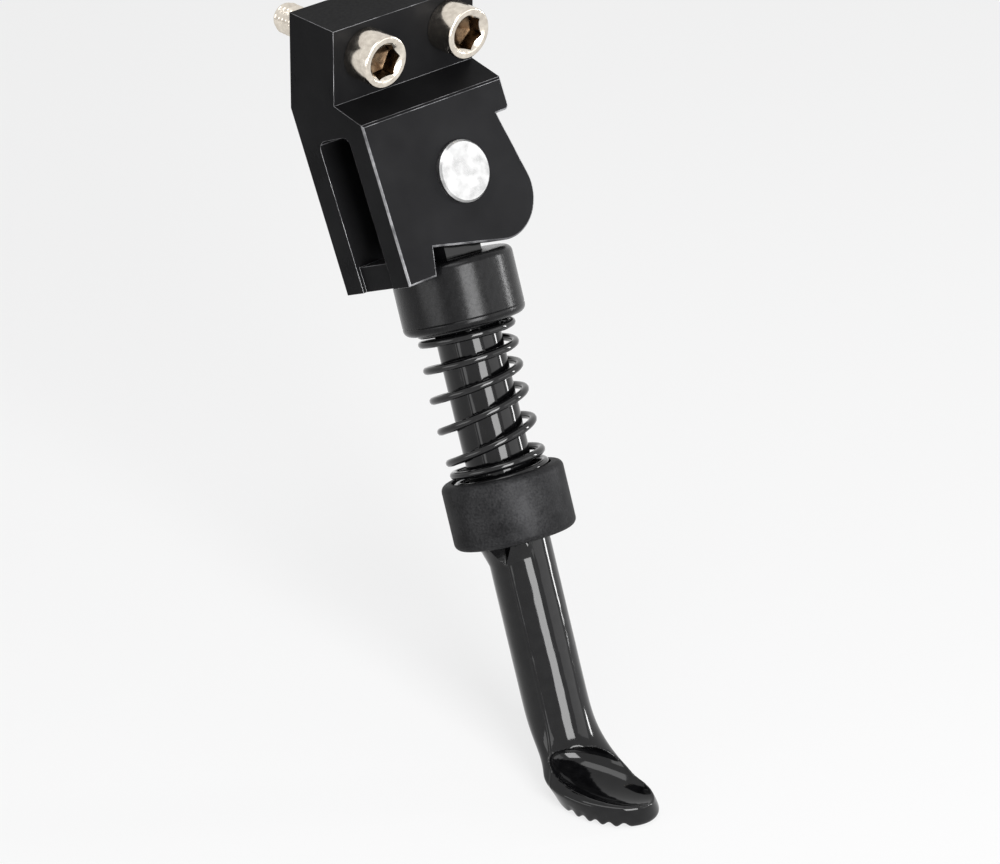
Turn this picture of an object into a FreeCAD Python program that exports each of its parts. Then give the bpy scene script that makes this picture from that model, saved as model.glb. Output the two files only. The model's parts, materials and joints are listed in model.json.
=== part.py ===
import FreeCAD, Part
import Sketcher
import os

# Sprung side stand of a two-wheeler: a clevis bracket under the frame, a forged leg that swings
# in it on a riveted pin, and a cup that a spring presses against the rounded cheeks.
# Millimetres. The origin lies on the bracket's mounting face, midway between its two screws.
# +X runs along the bracket, +Y points out of the mounting face into the frame, +Z is up.

document = FreeCAD.newDocument("side_stand")

# Driving lengths in millimetres: name, value, and what it measures
lengths = [
    # The whole stand
    ("standHigh", 182.1, "ground to the top of the bracket's block"),
    ("standDeep", 129.4, "tip of the toe to the free ends of the screws"),
    # Bracket block that the two screws hold against the frame
    ("screwSpacing", 26.7, "distance between the two screw axes"),
    ("blockDeep", 16.2, "mounting face to the face under the screw heads"),
    ("blockAbove", 8.0, "screw axes to the block's top"),
    ("blockBelow", 11.2, "screw axes to the front face's lower edge"),
    ("screwPlay", 0.2, "radial clearance of the screws in the block"),
    # Where the leg's pivot lies
    ("pinAcross", 2.0, "middle of the screws to the pivot pin, along the bracket"),
    ("pinDeep", 22.9, "mounting face to the middle of the pin"),
    ("pinDrop", 35.1, "screw axes to the middle of the pin"),
    # The two cheeks, measured from the pin axis
    ("cheekThick", 6.7, "thickness of one cheek"),
    ("slotWide", 12.2, "gap between the cheeks"),
    ("cheekBack", 25.1, "pin axis to the bracket's closed end"),
    ("cheekFront", 19.7, "pin axis to the bracket's open end"),
    ("cheekTop", 18.4, "pin axis to the cheeks' top edge"),
    ("cheekBottom", 21.7, "pin axis to the cheeks' bottom edge"),
    ("slotTop", 16.6, "pin axis to the slot's roof"),
    ("slotRound", 2.5, "radius in the slot's upper corners"),
    ("flatReach", 17.6, "pin axis to the two flats that the cup rests on"),
    ("noseRound", 11.0, "radius of the nose between the two flats"),
    ("hornUnder", 10.4, "pin axis to the underside of the horn that stops the folded cup"),
    ("hornRound", 1.3, "radius of the horn's tip"),
    ("notchPlay", 0.5, "gap between the cup and the foot of the cheeks' notch"),
    ("notchTaper", 1.4, "how far the notch's upper corner lies inside its foot"),
    ("stopInset", 1.0, "bracket's closed end to the stop block"),
    ("stopTop", 15.4, "pin axis to the stop block's top"),
    ("edgeChamfer", 0.4, "chamfer along the bracket's outer edges"),
    # Pivot pin
    ("pinThick", 10.0, "diameter of the pivot pin"),
    ("pinHead", 15.4, "diameter of the pin's two heads"),
    ("pinProud", 1.5, "how far each head stands out"),
    ("pinChamfer", 0.5, "chamfer of the pin's heads"),
    ("pushFit", 0.02, "radial clearance of a fixed pin in its hole"),
    ("runningFit", 0.05, "radial clearance of a part that turns or slides"),
    ("slotPlay", 0.1, "gap between the leg's eye and each cheek"),
    # Leg, measured down its own axis from the pin
    ("barThick", 16.4, "diameter of the leg's round bar"),
    ("eyeLong", 24.8, "pin axis to the end of the eye's flats"),
    ("lipProud", 1.7, "how far the staked lip stands out of the bar under the collar"),
    ("lipLong", 5.5, "length of the staked lip"),
    ("dentLong", 5.6, "length of the punch's dent in the lip"),
    ("dentWide", 12.5, "width of the dent at the collar"),
    ("dentDeep", 3.6, "depth of the dent at the collar, from the lip's top"),
    # Foot, forged flat at the end of the bar
    ("heelHigh", 16.0, "ground to the end of the straight bar"),
    ("heelLong", 19.2, "length of the heel where it meets the sole's rim"),
    ("heelWide", 16.4, "width of the heel where it meets the sole's rim"),
    ("heelShift", 2.1, "how far the heel is pushed out past the bar's axis"),
    ("heelRound", 2.0, "how much the heel draws in all round, down to the ground"),
    ("rimLong", 28.6, "length of the sole's oval rim"),
    ("rimWide", 17.6, "width of the sole's oval rim"),
    ("rimHigh", 5.8, "height of the sole's rim above the ground"),
    ("rimBack", 1.9, "how far the rim lies back from the tread, along the sole"),
    ("rimAside", 1.5, "how far the rim lies aside from the tread, away from the fold"),
    ("treadLong", 26.6, "length of the sole's tread on the ground"),
    ("treadWide", 18.5, "width of the tread"),
    ("treadAhead", 13.2, "middle of the tread to the bar's axis at the ground, outwards"),
    ("treadAside", 2.4, "middle of the tread to the bar's axis at the ground, away from the fold"),
    ("dishLong", 26.4, "length of the dish at the rim"),
    ("dishWide", 15.0, "width of the dish at the rim"),
    ("dishFront", 0.7, "how far the dish lies nearer the toe than the rim"),
    ("dishAside", 0.6, "how far the dish lies aside from the rim, towards the fold"),
    ("dishDeep", 3.6, "depth of the dish below the rim"),
    ("dishRise", 2.2, "height of the dish's middle above the rim"),
    ("toothPitch", 3.6, "spacing of the teeth under the sole's edge"),
    ("toothDeep", 0.9, "depth of the gaps between the teeth"),
    ("toothLong", 5.0, "how far the teeth reach in from the sole's edge"),
    # Cup that rides on the cheeks
    ("cupTop", 20.2, "pin axis to the cup's top"),
    ("cupLong", 17.1, "length of the cup"),
    ("cupThick", 30.9, "diameter of the cup"),
    ("cupRound", 1.9, "radius of the cup's edges"),
    ("stopPlay", 0.15, "gap between the stop block and the cup"),
    # Spring and the collar under it
    ("springThick", 24.8, "outer diameter of the spring"),
    ("wireThick", 2.0, "diameter of the spring's wire"),
    ("seatDeep", 4.0, "depth of the spring's seats in the cup and the collar"),
    ("seatPlay", 0.3, "radial gap between the spring and its seats"),
    ("endPlay", 0.1, "gap between the spring's ends and their seats"),
    ("collarTop", 75.0, "pin axis to the collar's top"),
    ("collarLong", 16.8, "length of the collar"),
    ("collarThick", 31.0, "diameter of the collar"),
    ("collarRound", 1.8, "radius of the collar's edges"),
    # Socket-head screws
    ("screwThick", 8.0, "diameter of the screws' thread"),
    ("shankThick", 7.2, "diameter of the screws' plain shank"),
    ("screwLong", 30.0, "length under the head"),
    ("headThick", 13.0, "diameter of the screw heads"),
    ("headLong", 8.0, "height of the screw heads"),
    ("socketWide", 8.0, "width of the hexagon socket across its flats"),
    ("socketDeep", 4.5, "depth of the hexagon socket"),
    ("headChamfer", 0.5, "chamfer of the heads and of the screw ends"),
]

# Driving angles in degrees
angles = [
    ("setAngle", 4.0, "angle of the leg's axis in the plane of the cheeks"),
    ("lowFlatAngle", 12.3, "slope of the flat below the pin"),
    ("highFlatAngle", 14.2, "slope of the flat in front of the pin"),
    ("dentAngle", 202.0, "direction of the staked lip round the bar"),
    ("lipAngle", 104.0, "how far the staked lip reaches round the bar"),
    ("soleAngle", 20.0, "turn of the sole from straight out towards the open end"),
    ("springAngle", 79.0, "direction in which the spring's lower end lies"),
    ("leftSocketAngle", 5.0, "turn of the left screw's socket"),
    ("rightSocketAngle", 40.0, "turn of the right screw's socket"),
]

# Driving counts
counts = [
    ("springTurns", 5.7, "turns of the spring between its seats"),
]

sheet = document.addObject("Spreadsheet::Sheet", "Sizes")
for row, (name, value, meaning) in enumerate(lengths + angles + counts, start=1):
    sheet.set("A%d" % row, name)
    sheet.set("B%d" % row, str(value))
    sheet.set("C%d" % row, meaning)
    sheet.setAlias("B%d" % row, name)

# The lean of the cheeks and the leg follows from the whole stand's height and depth
groundDrop = "(#standHigh - #blockAbove)"
toeReach = "(#standDeep - (#screwLong - #blockDeep))"
treadLengthwise = "(#treadLong / 2 * cos(#soleAngle * 1 deg))"
treadCrosswise = "(#treadWide / 2 * sin(#soleAngle * 1 deg))"
treadHalf = "sqrt(%s^2 + %s^2)" % (treadLengthwise, treadCrosswise)
legHigh = "(%s - #pinDrop)" % groundDrop
legOut = "(%s - %s - #treadAhead - #pinDeep)" % (toeReach, treadHalf)
leanRow = len(lengths + angles + counts) + 1
leanWords = "=atan(%s / %s) / 1 deg" % (legOut, legHigh)
sheet.set("A%d" % leanRow, "leanAngle")
sheet.set("B%d" % leanRow, leanWords.replace("#", ""))
sheet.set("C%d" % leanRow, "lean of the cheeks and the leg towards the outside")
sheet.setAlias("B%d" % leanRow, "leanAngle")
document.recompute()


def bound(words):
    # "#cupTop" stands for the sheet's cell of that name
    return words.replace("#", "Sizes.")


def worked(words):
    # The present value of an expression
    return sheet.evalExpression(bound(words))


# Frames that the bodies are built in
pivotPoint = "vector(#pinAcross; -#pinDeep; -#pinDrop)"
cheekTurn = "rotation(vector(1; 0; 0); -#leanAngle)"
legTurn = cheekTurn + " * rotation(vector(0; 1; 0); #setAngle)"
cheekFrame = "placement(" + pivotPoint + "; " + cheekTurn + ")"
legFrame = "placement(" + pivotPoint + "; " + legTurn + ")"

subParts = []


def makeBody(label, frame=None):
    body = document.addObject("PartDesign::Body", label)
    body.Label = label
    if frame:
        body.setExpression("Placement", bound(frame))
    subParts.append(body)
    return body


def makeSketch(body, name, plane, offset=None):
    # A sketch on one of the body's own origin planes, moved by the offset
    sketch = body.newObject("Sketcher::SketchObject", name)
    role = plane + "_Plane"
    origin = [part for part in body.Origin.OriginFeatures if part.Role == role][0]
    sketch.AttachmentSupport = [(origin, "")]
    sketch.MapMode = "FlatFace"
    if offset:
        sketch.setExpression("AttachmentOffset", bound(offset))
    return sketch


def pinPoint(sketch, geometry, vertex, across, up):
    # Ties a point of the sketch to two expressions
    for kind, words in (("DistanceX", across), ("DistanceY", up)):
        value = float(worked(words))
        index = sketch.addConstraint(Sketcher.Constraint(kind, -1, 1, geometry, vertex, value))
        sketch.setExpression("Constraints[%d]" % index, bound(words))


def drawOutline(sketch, corners):
    # A closed outline of straight lines through corners given as pairs of expressions
    points = [FreeCAD.Vector(float(worked(a)), float(worked(b)), 0) for a, b in corners]
    count = len(points)
    first = sketch.GeometryCount
    for index in range(count):
        line = Part.LineSegment(points[index], points[(index + 1) % count])
        sketch.addGeometry(line, False)
    for index in range(count):
        following = (index + 1) % count
        joint = Sketcher.Constraint("Coincident", first + index, 2, first + following, 1)
        sketch.addConstraint(joint)
    for index, (across, up) in enumerate(corners):
        pinPoint(sketch, first + index, 1, across, up)


def drawCircle(sketch, across, up, diameter):
    centre = FreeCAD.Vector(float(worked(across)), float(worked(up)), 0)
    radius = float(worked(diameter)) / 2
    index = sketch.addGeometry(Part.Circle(centre, FreeCAD.Vector(0, 0, 1), radius), False)
    pinPoint(sketch, index, 3, across, up)
    tie = sketch.addConstraint(Sketcher.Constraint("Diameter", index, 2 * radius))
    sketch.setExpression("Constraints[%d]" % tie, bound(diameter))


def shiftedSketch(body, name, plane, place, turn=None):
    # A sketch whose plane is moved by three expressions and then turned
    offset = "placement(vector(%s; %s; %s); %s)" % (*place, turn or "rotation(vector(1; 0; 0); 0)")
    return makeSketch(body, name, plane, offset)


def drawOval(sketch, long, wide):
    # An ellipse around the sketch's origin, longer along its first axis
    halves = [float(worked(words)) / 2 for words in (long, wide)]
    index = sketch.addGeometry(Part.Ellipse(FreeCAD.Vector(0, 0, 0), *halves), False)
    sketch.exposeInternalGeometry(index)
    sketch.addConstraint(Sketcher.Constraint("Coincident", index, 3, -1, 1))
    sketch.addConstraint(Sketcher.Constraint("Horizontal", index + 1))
    for line, words in ((index + 1, long), (index + 2, wide)):
        tie = sketch.addConstraint(Sketcher.Constraint("Distance", line, float(worked(words))))
        sketch.setExpression("Constraints[%d]" % tie, bound(words))


def addFeature(body, kind, name, sketch, **settings):
    # A pad, pocket or revolution whose text settings are expressions
    feature = body.newObject("PartDesign::" + kind, name)
    feature.Profile = sketch
    for setting, value in settings.items():
        if isinstance(value, str) and value.startswith("="):
            feature.setExpression(setting, bound(value[1:]))
        else:
            setattr(feature, setting, value)
    sketch.Visibility = False
    document.recompute()
    return feature


def addLoft(body, kind, name, sections, ruled=False):
    # A loft through the sections, from the first to the last
    feature = body.newObject("PartDesign::" + kind, name)
    feature.Profile = sections[0]
    feature.Sections = sections[1:]
    feature.Ruled = ruled
    for sketch in sections:
        sketch.Visibility = False
    document.recompute()
    return feature


def cutPocket(body, name, sketch, **settings):
    # A pocket, which must take volume away
    before = body.Tip.Shape.Volume
    pocket = addFeature(body, "Pocket", name, sketch, **settings)
    if pocket.Shape.Volume >= before:
        raise RuntimeError(name + " cuts nothing")


def cutThrough(body, name, sketch):
    # A pocket through everything on both sides of its sketch
    cutPocket(body, name, sketch, Type="ThroughAll", SideType="Two sides", Type2="ThroughAll")


def dressEdges(body, kind, name, measure, chosen):
    # A fillet or chamfer on the edges for which chosen(edge) holds
    base = body.Tip
    names = ["Edge%d" % (index + 1) for index, edge in enumerate(base.Shape.Edges) if chosen(edge)]
    if not names:
        raise RuntimeError(name + " finds no edge")
    dress = body.newObject("PartDesign::" + kind, name)
    dress.Base = (base, names)
    dress.setExpression("Radius" if kind == "Fillet" else "Size", bound(measure))
    document.recompute()
    return dress


def near(a, b):
    return abs(a - b) < 0.01


def localEnds(edge, frame):
    # The ends of an edge in another frame
    back = worked(frame).inverse()
    return [back.multVec(vertex.Point) for vertex in edge.Vertexes]


# Half the clevis, the cup's foot and other lengths that several pieces share
cheekOuter = "(#slotWide / 2 + #cheekThick)"
slotHalf = "(#slotWide / 2)"
leanSin = "sin(#leanAngle * 1 deg)"
leanCos = "cos(#leanAngle * 1 deg)"
setSin = "sin(#setAngle * 1 deg)"
setCos = "cos(#setAngle * 1 deg)"
cupEnd = "(#cupTop + #cupLong)"
collarEnd = "(#collarTop + #collarLong)"
barBore = "(#barThick / 2 + #runningFit)"
springSeat = "(#springThick / 2 + #seatPlay)"


def leaned(across, up):
    # A point of the cheeks' end view, given from the pin axis, in the upright end view
    deep = "(-#pinDeep + (%s) * %s + (%s) * %s)" % (across, leanCos, up, leanSin)
    high = "(-#pinDrop - (%s) * %s + (%s) * %s)" % (across, leanSin, up, leanCos)
    return deep, high


# Bracket: one milled block, upright where the screws hold it and leaning where it carries the pin
bracket = makeBody("bracket")
bracketLong = "(#cheekBack + #cheekFront)"
bracketMiddle = "(#pinAcross + (#cheekFront - #cheekBack) / 2)"
endLean = "rotation(vector(0; 0; 1); -#leanAngle)"
sideLean = "rotation(vector(1; 0; 0); -#leanAngle)"
sidePlace = ("#pinAcross", "-#pinDrop", "#pinDeep")

endView = shiftedSketch(bracket, "BlockEnd", "YZ", ("0", "0", bracketMiddle))
meetSlope = "((#pinDeep - %s * %s) / %s)" % (cheekOuter, leanCos, leanSin)
drawOutline(endView, [
    ("0", "#blockAbove"),
    ("-#blockDeep", "#blockAbove"),
    ("-#blockDeep", "-#blockBelow"),
    leaned("-" + cheekOuter, "#cheekTop"),
    leaned(cheekOuter, "#cheekTop"),
    ("0", leaned(cheekOuter, meetSlope)[1]),
])
addFeature(bracket, "Pad", "Block", endView, Length="=" + bracketLong, SideType="Symmetric")

lowSin = "sin(#lowFlatAngle * 1 deg)"
lowCos = "cos(#lowFlatAngle * 1 deg)"
highSin = "sin(#highFlatAngle * 1 deg)"
highCos = "cos(#highFlatAngle * 1 deg)"
betweenFlats = "(45 + (#lowFlatAngle + #highFlatAngle) / 2)"
noseReach = "(#flatReach / cos(%s * 1 deg))" % betweenFlats
noseAngle = "(%s - #highFlatAngle)" % betweenFlats
noseAcross = "%s * cos(%s * 1 deg)" % (noseReach, noseAngle)
noseUp = "-%s * sin(%s * 1 deg)" % (noseReach, noseAngle)
cupAtCheek = "sqrt((#cupThick / 2)^2 - (#slotWide / 2)^2)"
notchFoot = "((%s + #notchPlay + #cheekBottom * %s) / %s)" % (cupAtCheek, setSin, setCos)
notchTop = "(%s - #notchTaper)" % notchFoot
sideView = shiftedSketch(bracket, "CheekOutline", "XZ", sidePlace, sideLean)
drawOutline(sideView, [
    ("-#cheekBack", "#cheekTop"),
    ("#cheekFront", "#cheekTop"),
    ("#cheekFront", "#hornUnder"),
    ("(#flatReach - #hornUnder * %s) / %s" % (highSin, highCos), "#hornUnder"),
    (noseAcross, noseUp),
    ("-" + notchTop, "-(#flatReach - %s * %s) / %s" % (notchTop, lowSin, lowCos)),
    ("-" + notchFoot, "-#cheekBottom"),
    ("-#cheekBack", "-#cheekBottom"),
])
addFeature(bracket, "Pad", "Cheeks", sideView, Length="=2 * " + cheekOuter, SideType="Symmetric")


def standsAt(across, up):
    # True for an edge along the pin's direction that crosses the side view at this point
    goal = (float(worked(across)), float(worked(up)))

    def chosen(edge):
        ends = localEnds(edge, cheekFrame)
        return len(ends) == 2 and all(near(p.x, goal[0]) and near(p.z, goal[1]) for p in ends)

    return chosen


dressEdges(bracket, "Fillet", "Nose", "#noseRound", standsAt(noseAcross, noseUp))
dressEdges(bracket, "Fillet", "HornTip", "#hornRound", standsAt("#cheekFront", "#hornUnder"))

slotPlace = ("-#pinDeep", "-#pinDrop", "0")
slotView = shiftedSketch(bracket, "SlotEnd", "YZ", slotPlace, endLean)
drawOutline(slotView, [
    ("-" + slotHalf, "#slotTop"),
    (slotHalf, "#slotTop"),
    (slotHalf, "-2 * #cheekBottom"),
    ("-" + slotHalf, "-2 * #cheekBottom"),
])
cutThrough(bracket, "Slot", slotView)


def inSlotRoof(edge):
    ends = localEnds(edge, cheekFrame)
    half = float(worked(slotHalf))
    roof = float(worked("#slotTop"))
    alongSlot = near(ends[0].y, ends[-1].y)
    return alongSlot and all(near(abs(p.y), half) and near(p.z, roof) for p in ends)


dressEdges(bracket, "Fillet", "SlotCorners", "#slotRound", inSlotRoof)

def stopLine(drop):
    # The stop block's face beside the cup, a drop below the pin
    return "((-(#cupThick / 2 + #stopPlay) - %s * %s) / %s)" % (drop, setSin, setCos)


stopView = shiftedSketch(bracket, "StopOutline", "XZ", sidePlace, sideLean)
drawOutline(stopView, [
    ("-#cheekBack + #stopInset", "-#stopTop"),
    (stopLine("#stopTop"), "-#stopTop"),
    (stopLine("#cheekBottom"), "-#cheekBottom"),
    ("-#cheekBack + #stopInset", "-#cheekBottom"),
])
addFeature(bracket, "Pad", "StopBlock", stopView, Length="=#slotWide", SideType="Symmetric")

pinView = shiftedSketch(bracket, "PinCircle", "XZ", sidePlace, sideLean)
drawCircle(pinView, "0", "0", "#pinThick + 2 * #pushFit")
cutThrough(bracket, "PinHole", pinView)

screwView = makeSketch(bracket, "ScrewCircles", "XZ")
for side in ("-", ""):
    drawCircle(screwView, side + "#screwSpacing / 2", "0", "#screwThick + 2 * #screwPlay")
cutThrough(bracket, "ScrewHoles", screwView)


def onOuterCheek(edge):
    # The outline of the cheeks' outer faces, without the pin hole
    ends = localEnds(edge, cheekFrame)
    outer = float(worked(cheekOuter))
    top = float(worked("#cheekTop"))
    return len(ends) == 2 and all(near(p.y, -outer) and p.z < top + 0.01 for p in ends)


dressEdges(bracket, "Chamfer", "CheekEdges", "#edgeChamfer", onOuterCheek)

# Pivot pin: a rivet with a turned head outside and a formed one behind
pin = makeBody("pivot_pin", cheekFrame)
pinView = makeSketch(pin, "PinHalf", "XY")
headEnd = "(%s + #pinProud)" % cheekOuter
drawOutline(pinView, [
    ("0", "-" + headEnd),
    ("#pinHead / 2 - #pinChamfer", "-" + headEnd),
    ("#pinHead / 2", "-%s + #pinChamfer" % headEnd),
    ("#pinHead / 2", "-" + cheekOuter),
    ("#pinThick / 2", "-" + cheekOuter),
    ("#pinThick / 2", cheekOuter),
    ("#pinHead / 2", cheekOuter),
    ("#pinHead / 2", "%s - #pinChamfer" % headEnd),
    ("#pinHead / 2 - #pinChamfer", headEnd),
    ("0", headEnd),
])
addFeature(pin, "Revolution", "PinTurned", pinView, ReferenceAxis=(pinView, ["V_Axis"]))

# Two socket-head screws, whose free ends go into the frame
screws = [("screw_left", "-", "#leftSocketAngle"), ("screw_right", "", "#rightSocketAngle")]
for label, side, socketTurn in screws:
    frame = "placement(vector(%s#screwSpacing / 2; -#blockDeep; 0); rotation(vector(1; 0; 0); 0))"
    screw = makeBody(label, frame % side)
    halfView = makeSketch(screw, label + "_half", "XY")
    drawOutline(halfView, [
        ("0", "-#headLong"),
        ("#headThick / 2 - #headChamfer", "-#headLong"),
        ("#headThick / 2", "-#headLong + #headChamfer"),
        ("#headThick / 2", "0"),
        ("#shankThick / 2", "0"),
        ("#shankThick / 2", "#blockDeep"),
        ("#screwThick / 2", "#blockDeep"),
        ("#screwThick / 2", "#screwLong - #headChamfer"),
        ("#screwThick / 2 - #headChamfer", "#screwLong"),
        ("0", "#screwLong"),
    ])
    addFeature(screw, "Revolution", label + "_turned", halfView,
               ReferenceAxis=(halfView, ["V_Axis"]))
    socketView = shiftedSketch(screw, label + "_hexagon", "XZ", ("0", "0", "#headLong"))
    corner = "#socketWide / 2 / cos(30 deg)"
    drawOutline(socketView, [
        ("%s * cos((%s + %d) * 1 deg)" % (corner, socketTurn, turn),
         "%s * sin((%s + %d) * 1 deg)" % (corner, socketTurn, turn))
        for turn in range(0, 360, 60)
    ])
    cutPocket(screw, label + "_socket", socketView, Length="=#socketDeep")

# Leg: a round bar forged into an eye above and a dished foot below
leg = makeBody("stand_leg", legFrame)


def turned(angle):
    return "rotation(vector(0; 0; 1); %s)" % angle


def levelPlace(across, out, height, angle):
    # A level plane above the ground in the leg's body, its origin given from the mounting face's middle
    place = (across, out, height, groundDrop, turned(angle))
    return "minvert(%s) * placement(vector(%s; -(%s); %s - %s); %s)" % (legFrame, *place)


def barAcross(height):
    # Where the bar's axis passes a height above the ground, along the bracket
    return "(#pinAcross - (%s - %s) * %s / (%s * %s))" % (legHigh, height, setSin, leanCos, setCos)


def barOut(height):
    # The same, outwards from the mounting face
    return "(#pinDeep + (%s - %s) * %s / %s)" % (legHigh, height, leanSin, leanCos)


barView = makeSketch(leg, "BarCircle", "XY")
drawCircle(barView, "0", "0", "#barThick")
barLong = "=%s / (%s * %s)" % (legHigh, leanCos, setCos)
addFeature(leg, "Pad", "Bar", barView, Length=barLong, Reversed=True)
barTurn = "90 deg - atan(%s / (%s * %s))" % (setSin, leanSin, setCos)
heelPlace = levelPlace(barAcross("#heelHigh"), barOut("#heelHigh"), "#heelHigh", barTurn)
endView = makeSketch(leg, "BarEnd", "XY", heelPlace)
# Wide enough to take the whole end of the slanting bar
drawCircle(endView, "0", "0", "4 * #barThick")
cutPocket(leg, "BarCut", endView, Type="ThroughAll")

eyeThick = "(#slotWide - 2 * #slotPlay)"
flatsView = makeSketch(leg, "EyeFlats", "YZ")
for side in ("-", ""):
    drawOutline(flatsView, [
        (side + eyeThick + " / 2", "#barThick"),
        (side + "#barThick", "#barThick"),
        (side + "#barThick", "-#eyeLong"),
        (side + eyeThick + " / 2", "-#eyeLong"),
    ])
cutThrough(leg, "Flats", flatsView)
eyeView = makeSketch(leg, "EyeCircle", "XZ")
drawCircle(eyeView, "0", "0", "#barThick")
addFeature(leg, "Pad", "Eye", eyeView, Length="=" + eyeThick, SideType="Symmetric")
holeView = makeSketch(leg, "EyeHole", "XZ")
drawCircle(holeView, "0", "0", "#pinThick + 2 * #runningFit")
cutThrough(leg, "EyeBore", holeView)

# The bar is staked under the collar: a punch raises a lip and leaves a dent in its middle
lipPlace = "placement(vector(0; 0; 0); %s * rotation(vector(1; 0; 0); 90))" % turned("#dentAngle")
lipView = makeSketch(leg, "LipProfile", "XY", lipPlace)
drawOutline(lipView, [
    ("#barThick / 4", "-" + collarEnd),
    ("#barThick / 2 + #lipProud", "-" + collarEnd),
    ("#barThick / 2", "-%s - #lipLong" % collarEnd),
    ("#barThick / 4", "-%s - #lipLong" % collarEnd),
])
addFeature(leg, "Revolution", "Lip", lipView, ReferenceAxis=(lipView, ["V_Axis"]),
           Angle="=#lipAngle", Midplane=True)
lipTop = "(#barThick / 2 + #lipProud)"
dentPlace = "placement(vector(0; 0; -(%s)); %s)"
mouthPlace = dentPlace % (collarEnd, turned("#dentAngle"))
dentMouth = makeSketch(leg, "DentMouth", "XY", mouthPlace)
drawOutline(dentMouth, [
    (lipTop + " + #lipProud", "-#dentWide / 2"),
    (lipTop + " + #lipProud", "#dentWide / 2"),
    (lipTop + " - #dentDeep", "0"),
])
tipPlace = dentPlace % (collarEnd + " + #dentLong", turned("#dentAngle"))
dentTip = makeSketch(leg, "DentTip", "XY", tipPlace)
drawOutline(dentTip, [
    ("#barThick / 2 + #lipProud / 2", "-#dentWide / 20"),
    ("#barThick / 2 + #lipProud / 2", "#dentWide / 20"),
    ("#barThick / 2", "0"),
])
addLoft(leg, "SubtractiveLoft", "Dent", [dentMouth, dentTip], ruled=True)

# Heel: the bar flows into an oval that ends on the ground
heelTop = makeSketch(leg, "HeelTop", "XY", heelPlace)
drawOval(heelTop, "#barThick / (%s * %s)" % (leanCos, setCos), "#barThick")
heelSections = [heelTop]
heelLevels = [
    # name, height above the ground, how much is drawn in all round
    ("HeelMiddle", "#rimHigh", "0"),
    ("HeelGround", "0", "#heelRound"),
]
for name, height, drawn in heelLevels:
    place = levelPlace(barAcross(height), barOut(height) + " + #heelShift", height, barTurn)
    oval = makeSketch(leg, name, "XY", place)
    drawOval(oval, "#heelLong - 2 * " + drawn, "#heelWide - 2 * " + drawn)
    heelSections.append(oval)
addLoft(leg, "AdditiveLoft", "Heel", heelSections)

# Sole: an oval plate whose tread on the ground lies a little nearer the toe than its rim
treadOut = barOut("0") + " + #treadAhead"


def solePlace(height, towardsToe, aside):
    # A level plane in the sole's own direction, moved along and across it from the tread's middle
    middle = levelPlace(barAcross("0") + " - #treadAside", treadOut, height, "#soleAngle - 90")
    return "%s * placement(vector(%s; %s; 0); %s)" % (middle, towardsToe, aside, turned("0"))


tread = makeSketch(leg, "Tread", "XY", solePlace("0", "0", "0"))
drawOval(tread, "#treadLong", "#treadWide")
rim = makeSketch(leg, "Rim", "XY", solePlace("#rimHigh", "-#rimBack", "-#rimAside"))
drawOval(rim, "#rimLong", "#rimWide")
sole = addLoft(leg, "AdditiveLoft", "Sole", [tread, rim], ruled=True)

# The dish is pressed into the sole's top and into the front of the heel
dish = leg.newObject("PartDesign::SubtractiveEllipsoid", "Dish")
levelPlane = [part for part in leg.Origin.OriginFeatures if part.Role == "XY_Plane"][0]
dish.AttachmentSupport = [(levelPlane, "")]
dish.MapMode = "FlatFace"
dishPlace = solePlace("#rimHigh + #dishRise", "#dishFront - #rimBack", "#dishAside - #rimAside")
dishHalf = "(#dishDeep + #dishRise)"
dishScale = "sqrt(1 - (#dishRise / %s)^2)" % dishHalf
dishSizes = [
    ("AttachmentOffset", dishPlace),
    ("Radius1", dishHalf),
    ("Radius2", "#dishLong / 2 / " + dishScale),
    ("Radius3", "#dishWide / 2 / " + dishScale),
]
for setting, words in dishSizes:
    dish.setExpression(setting, bound(words))
document.recompute()
dishLeast = float(worked("#dishLong * #dishWide * #dishDeep / 4"))
if dish.Shape.Volume > sole.Shape.Volume - dishLeast:
    raise RuntimeError("Dish cuts too little")

# Teeth: notches across the tread's edge, on the side away from the fold
toothPlace = solePlace("0", "0", "#toothLong - #treadWide / 2")
toothUpright = turned("90") + " * rotation(vector(1; 1; 1); 120)"
toothView = makeSketch(leg, "ToothGaps", "XY", "%s * %s" % (toothPlace, toothUpright))
# Middles of the gaps in tooth pitches from the tread's middle, the toe's side first
for gap in (-2.1, -1.1, -0.1, 0.9):
    middle = "(%s * #toothPitch)" % gap
    drawOutline(toothView, [
        ("%s - #toothPitch / 3" % middle, "-#toothDeep / 10"),
        ("%s + #toothPitch / 3" % middle, "-#toothDeep / 10"),
        (middle, "#toothDeep"),
    ])
cutPocket(leg, "Teeth", toothView, Type="ThroughAll")

# Cup: a turned piece that slides on the bar and rests against the cheeks
cup = makeBody("spring_cup", legFrame)
cupView = makeSketch(cup, "CupHalf", "XZ")
drawOutline(cupView, [
    (barBore, "-#cupTop"),
    ("#cupThick / 2", "-#cupTop"),
    ("#cupThick / 2", "-" + cupEnd),
    (springSeat, "-" + cupEnd),
    (springSeat, "-%s + #seatDeep" % cupEnd),
    (barBore, "-%s + #seatDeep" % cupEnd),
])
addFeature(cup, "Revolution", "CupTurned", cupView, ReferenceAxis=(cupView, ["V_Axis"]))

# Collar: rests on the leg's staked lip and carries the spring
collar = makeBody("spring_collar", legFrame)
collarView = makeSketch(collar, "CollarHalf", "XZ")
drawOutline(collarView, [
    (barBore, "-#collarTop - #seatDeep"),
    (springSeat, "-#collarTop - #seatDeep"),
    (springSeat, "-#collarTop"),
    ("#collarThick / 2", "-#collarTop"),
    ("#collarThick / 2", "-" + collarEnd),
    (barBore, "-" + collarEnd),
])
addFeature(collar, "Revolution", "CollarTurned", collarView,
           ReferenceAxis=(collarView, ["V_Axis"]))


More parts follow.
